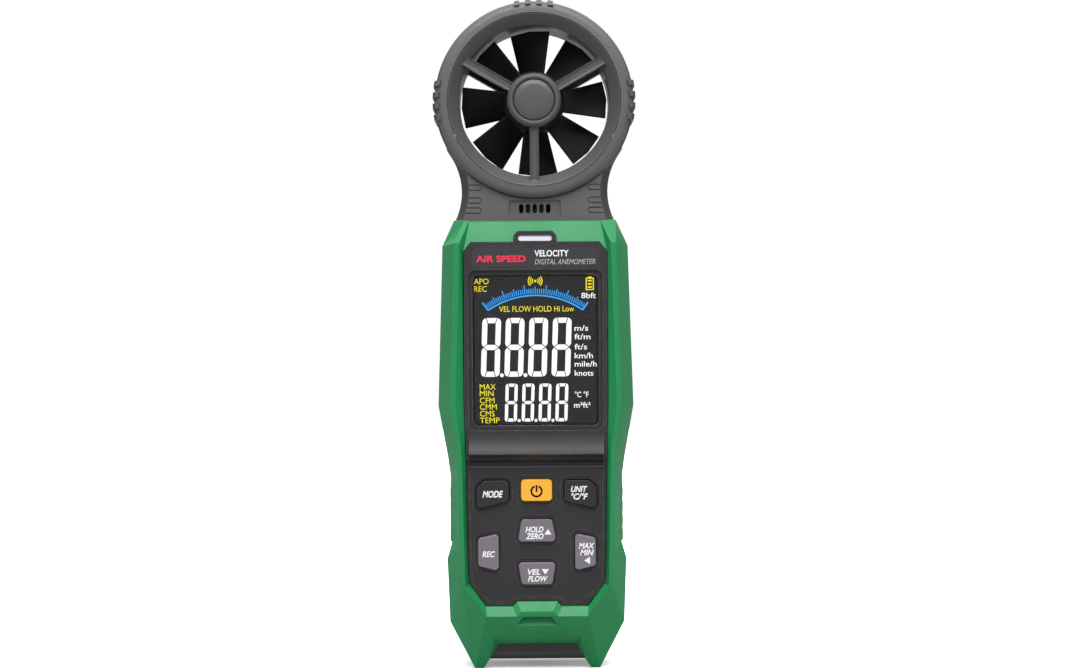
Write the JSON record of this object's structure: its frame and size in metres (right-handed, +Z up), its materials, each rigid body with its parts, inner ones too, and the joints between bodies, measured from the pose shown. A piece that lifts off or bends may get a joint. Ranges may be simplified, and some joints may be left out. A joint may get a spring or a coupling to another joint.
{
  "type": "vane anemometer",
  "caption": "Handheld vane anemometer: round fan head on a neck above a two-colour body with a display, seven keys and a battery cover.",
  "frame": {"origin": "on the ground between the feet, at the bottom centre of the bounding box", "axes": "+Z up along the instrument, -Y out of the face with the display, +X to the viewer's right"},
  "size_m": [0.0668, 0.0382, 0.2197],
  "materials": {
    "black_shell": "fine textured black plastic",
    "green_cover": "green moulded cover, fine texture",
    "panel_plastic": "black front panel, fine texture",
    "window_glass": "clear glossy window",
    "title_film": "printed dark film",
    "lens_white": "milky lens",
    "lcd": "liquid crystal cell",
    "white_plastic": "white plastic",
    "strip_rubber": "contact rubber",
    "mat_rubber": "silicone rubber",
    "key_black": "dark key with printed legend",
    "key_grey": "grey key with printed legend",
    "key_amber": "amber power key",
    "board": "solder-masked board",
    "chip": "component bodies",
    "steel": "bright steel",
    "battery": "battery jackets",
    "brass": "turned brass",
    "guard_plastic": "grey textured plastic",
    "blade_black": "dull black plastic",
    "magnet": "ferrite",
    "lead": "flat lead"
  },
  "bodies": {
    "instrument": {"front_housing": "black_shell", "rear_housing": "black_shell", "front_cover": "green_cover", "rear_cover": "green_cover", "front_panel": "panel_plastic", "display_window": "window_glass", "title_plate": "title_film", "indicator_lens": "lens_white", "indicator_led": "lens_white", "lcd_cell": "lcd", "lcd_frame": "white_plastic", "backlight": "white_plastic", "contact_strips": "strip_rubber", "keypad_mat": "mat_rubber", "main_board": "board", "board_chips": "chip", "buzzer": "chip", "board_screws": "steel", "housing_screws": "steel", "batteries": "battery", "battery_springs": "steel", "battery_plates": "steel", "tripod_insert": "brass", "front_guard": "guard_plastic", "rear_guard": "guard_plastic", "front_hub_cap": "guard_plastic", "rear_hub_cap": "guard_plastic", "front_bearing": "steel", "rear_bearing": "steel", "speed_sensor": "chip", "sensor_lead": "lead", "temperature_sensor": "board"},
    "rotor": {"impeller": "blade_black", "rotor_shaft": "steel", "rotor_magnet": "magnet"},
    "cover": {"battery_cover": "black_shell", "cover_screw": "steel"},
    "mode_key": {"key_mode": "key_black"},
    "power_key": {"key_power": "key_amber"},
    "unit_key": {"key_unit": "key_black"},
    "hold_key": {"key_hold": "key_grey"},
    "flow_key": {"key_flow": "key_grey"},
    "record_key": {"key_record": "key_grey"},
    "limits_key": {"key_limits": "key_grey"}
  },
  "joints": [
    {"name": "rotor_spin", "type": "hinge", "parent": "instrument", "child": "rotor", "pos_m": [0, 0, 0.1863], "axis": [0, 1, 0], "continuous": true},
    {"name": "cover_slide", "type": "slide", "parent": "instrument", "child": "cover", "axis": [0, 1, 0], "range_m": [0, 0.02]},
    {"name": "mode_press", "type": "slide", "parent": "instrument", "child": "mode_key", "axis": [0, 1, 0], "range_m": [0, 0.0008], "stiffness_N_per_m": 800},
    {"name": "power_press", "type": "slide", "parent": "instrument", "child": "power_key", "axis": [0, 1, 0], "range_m": [0, 0.0008], "stiffness_N_per_m": 800},
    {"name": "unit_press", "type": "slide", "parent": "instrument", "child": "unit_key", "axis": [0, 1, 0], "range_m": [0, 0.0008], "stiffness_N_per_m": 800},
    {"name": "hold_press", "type": "slide", "parent": "instrument", "child": "hold_key", "axis": [0, 1, 0], "range_m": [0, 0.0008], "stiffness_N_per_m": 800},
    {"name": "flow_press", "type": "slide", "parent": "instrument", "child": "flow_key", "axis": [0, 1, 0], "range_m": [0, 0.0008], "stiffness_N_per_m": 800},
    {"name": "record_press", "type": "slide", "parent": "instrument", "child": "record_key", "axis": [0, 1, 0], "range_m": [0, 0.0008], "stiffness_N_per_m": 800},
    {"name": "limits_press", "type": "slide", "parent": "instrument", "child": "limits_key", "axis": [0, 1, 0], "range_m": [0, 0.0008], "stiffness_N_per_m": 800}
  ]
}
